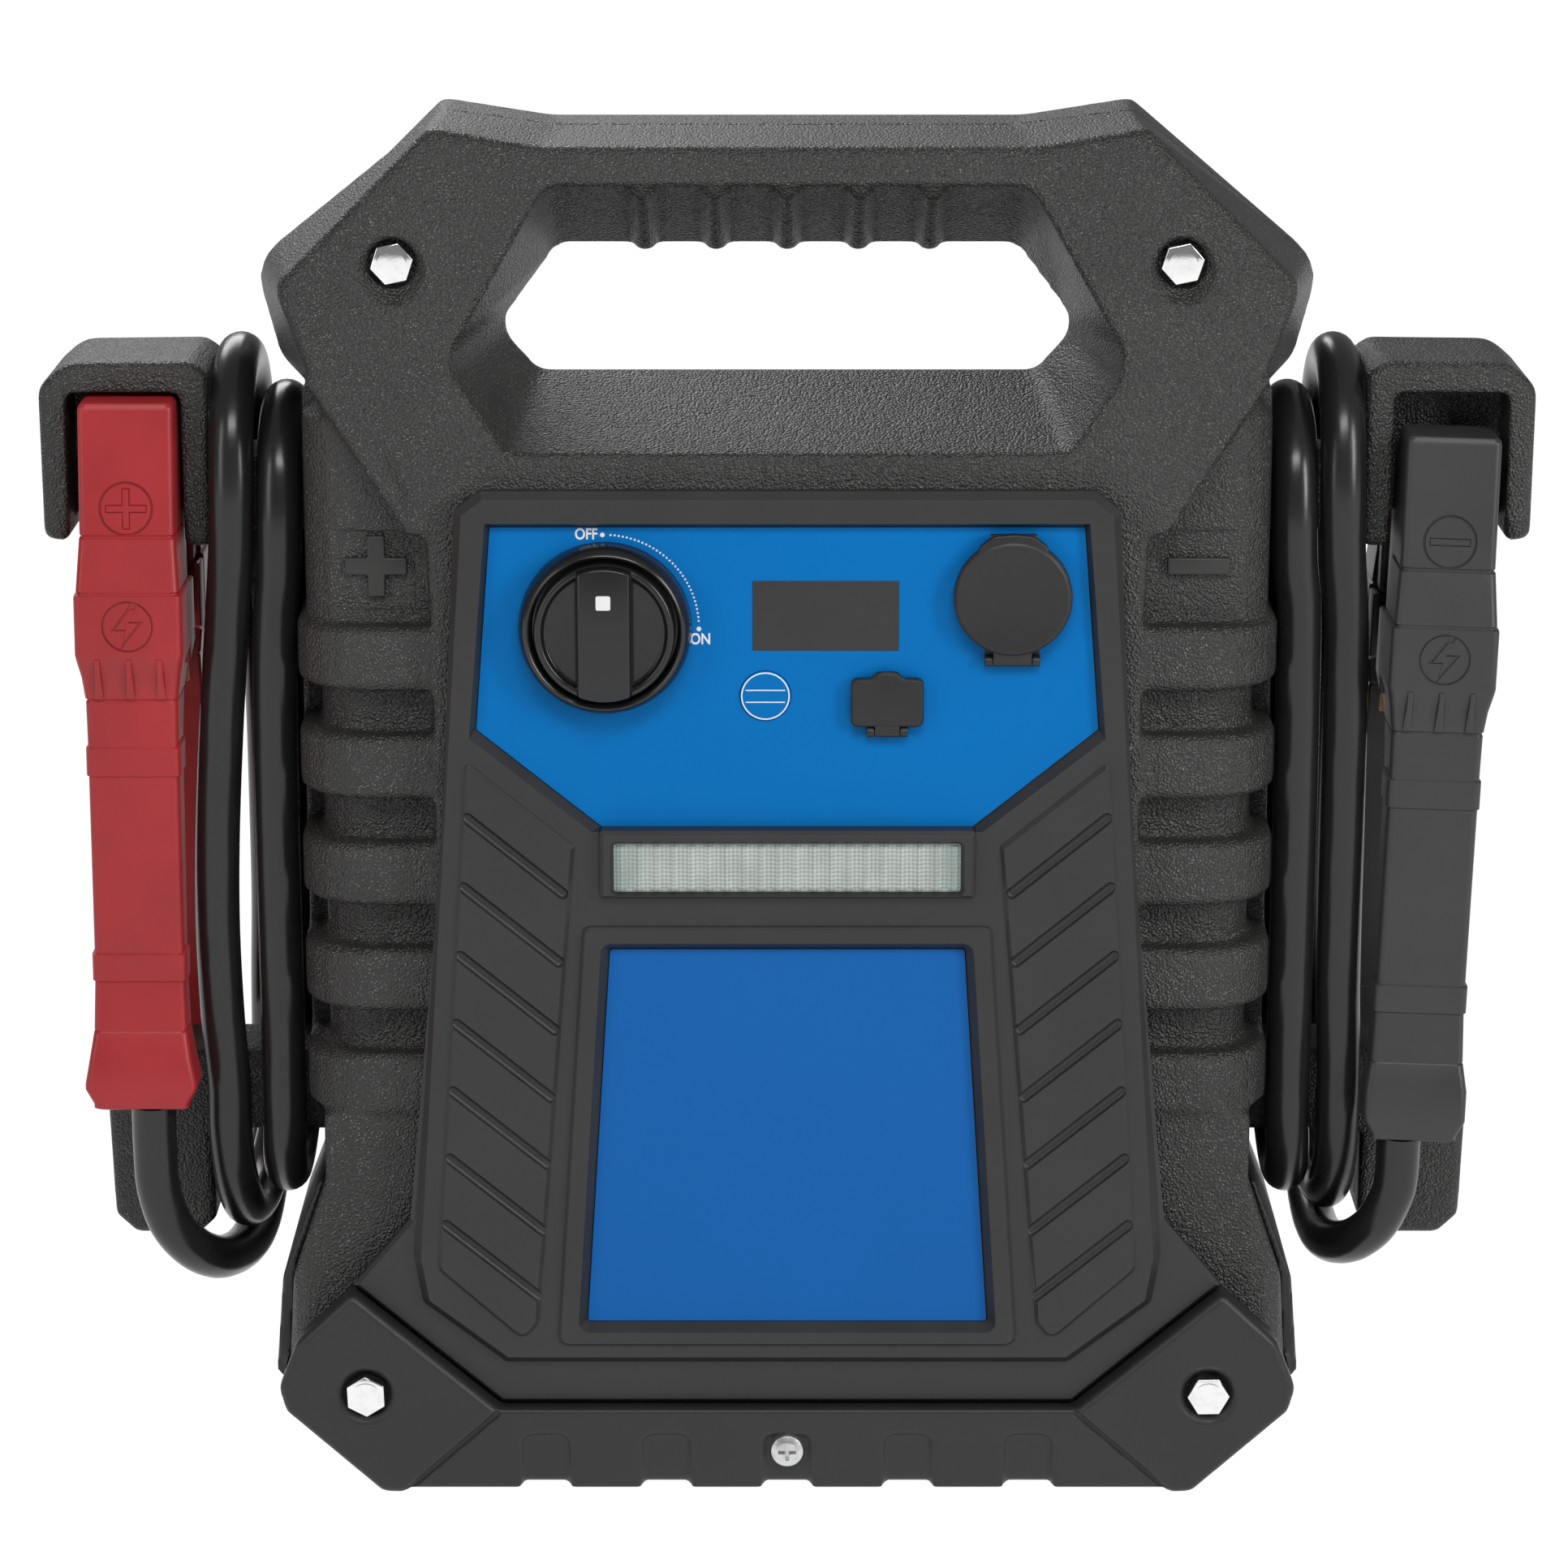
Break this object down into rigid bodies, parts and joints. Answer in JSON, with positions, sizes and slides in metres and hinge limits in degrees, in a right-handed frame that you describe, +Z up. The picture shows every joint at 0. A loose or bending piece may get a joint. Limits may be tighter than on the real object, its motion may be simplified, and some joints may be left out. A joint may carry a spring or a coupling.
{
  "type": "portable jump starter",
  "caption": "Carry-framed jump starter pack with booster cables and clamps stowed on side holders, a rotary power switch, work light, outlets and a rear tyre-inflator panel.",
  "frame": {"origin": "centre of the bottom of the standing pack: rubber feet on z = 0, parting plane of the shells at y = 0", "axes": "+X to the right as seen from the control panel, +Y from the control panel to the back, +Z up"},
  "size_m": [0.3974, 0.14, 0.3691],
  "materials": {
    "shell": "grained",
    "bezel": "fine satin",
    "bumper": "fine satin",
    "foot_rubber": "matt",
    "label": "printed film",
    "plaque": "printed film",
    "display": "smoked window",
    "board": "solder mask",
    "control_black": "satin",
    "button": "printed film",
    "switch_body": "moulded",
    "lens": "prismatic",
    "light_board": "white mask",
    "battery_case": "moulded",
    "lead_red": "smooth",
    "lead_black": "smooth",
    "motor_steel": "plated can",
    "pump_aluminium": "cast",
    "outlet_brass": "turned",
    "dial": "printed",
    "needle": "painted",
    "gauge_window": "clear",
    "rocker": "gloss",
    "bolt_chrome": "bright",
    "screw_steel": "plated",
    "cable_jacket": "satin jacket",
    "clamp_red": "satin",
    "clamp_black": "satin",
    "jaw_copper": "copper plated",
    "spring_steel": "oiled"
  },
  "bodies": {
    "pack": {"front_shell": "shell", "rear_shell": "shell", "front_bezel": "bezel", "rear_panel": "bezel", "front_bumper": "bumper", "rear_bumper": "bumper", "rubber_feet": "foot_rubber", "control_label": "label", "plaque_label": "plaque", "display_window": "display", "control_board": "board", "usb_port": "control_black", "knob_ring": "control_black", "power_switch": "switch_body", "power_socket": "control_black", "light_frame": "bezel", "light_lens": "lens", "light_board": "light_board", "battery": "battery_case", "positive_lead": "lead_red", "negative_lead": "lead_black", "compressor_motor": "motor_steel", "pump_head": "pump_aluminium", "air_outlet": "outlet_brass", "gauge_case": "control_black", "gauge_dial": "dial", "gauge_glass": "gauge_window", "rocker_housing": "control_black", "charge_inlet": "control_black", "left_clamp_holder": "shell", "right_clamp_holder": "shell", "left_cable_hook": "shell", "right_cable_hook": "shell", "cable_glands": "foot_rubber", "hex_bolts": "bolt_chrome", "pan_screws": "screw_steel", "positive_cable": "cable_jacket", "negative_cable": "cable_jacket", "red_front_lever": "clamp_red", "red_front_jaw": "jaw_copper", "red_pivot_pin": "screw_steel", "red_spring": "spring_steel", "black_front_lever": "clamp_black", "black_front_jaw": "jaw_copper", "black_pivot_pin": "screw_steel", "black_spring": "spring_steel"},
    "knob": {"power_knob": "control_black"},
    "button": {"test_button": "button"},
    "socket_lid": {"socket_cap": "control_black"},
    "usb_lid": {"usb_cap": "control_black"},
    "rocker": {"compressor_rocker": "rocker"},
    "needle": {"gauge_needle": "needle"},
    "charge_lid": {"charge_cap": "control_black"},
    "red_rear_half": {"red_rear_lever": "clamp_red", "red_rear_jaw": "jaw_copper"},
    "black_rear_half": {"black_rear_lever": "clamp_black", "black_rear_jaw": "jaw_copper"}
  },
  "joints": [
    {"name": "power_knob_turn", "type": "hinge", "parent": "pack", "child": "knob", "pos_m": [-0.0474, -0.0585, 0.242], "axis": [0, 1, 0], "range_deg": [0, 90]},
    {"name": "test_button_press", "type": "slide", "parent": "pack", "child": "button", "axis": [0, 1, 0], "range_m": [0, 0.0008], "stiffness_N_per_m": 600},
    {"name": "socket_cap_swing", "type": "hinge", "parent": "pack", "child": "socket_lid", "pos_m": [0.0586, -0.0603, 0.2332], "axis": [1, 0, 0], "range_deg": [0, 110]},
    {"name": "usb_cap_swing", "type": "hinge", "parent": "pack", "child": "usb_lid", "pos_m": [0.0261, -0.0603, 0.2142], "axis": [1, 0, 0], "range_deg": [0, 110]},
    {"name": "compressor_rocker_tip", "type": "hinge", "parent": "pack", "child": "rocker", "pos_m": [0.008, 0.055, 0.2415], "axis": [0, 0, 1], "range_deg": [-8, 8]},
    {"name": "gauge_needle_turn", "type": "hinge", "parent": "pack", "child": "needle", "pos_m": [-0.044, 0.062, 0.24], "axis": [0, 1, 0], "range_deg": [0, 270], "stiffness_Nm_per_rad": 0.0001},
    {"name": "charge_cap_swing", "type": "hinge", "parent": "pack", "child": "charge_lid", "pos_m": [0.056, 0.0598, 0.2006], "axis": [-1, 0, 0], "range_deg": [0, 110]},
    {"name": "red_clamp_squeeze", "type": "hinge", "parent": "pack", "child": "red_rear_half", "pos_m": [-0.1746, 0, 0.236], "axis": [-1, 0, 0], "range_deg": [0, 7], "stiffness_Nm_per_rad": 8, "springref_deg": -20.05},
    {"name": "black_clamp_squeeze", "type": "hinge", "parent": "pack", "child": "black_rear_half", "pos_m": [0.1742, 0, 0.227], "axis": [-0.9994, 0, 0.0349], "range_deg": [0, 7], "stiffness_Nm_per_rad": 8, "springref_deg": -20.05}
  ]
}
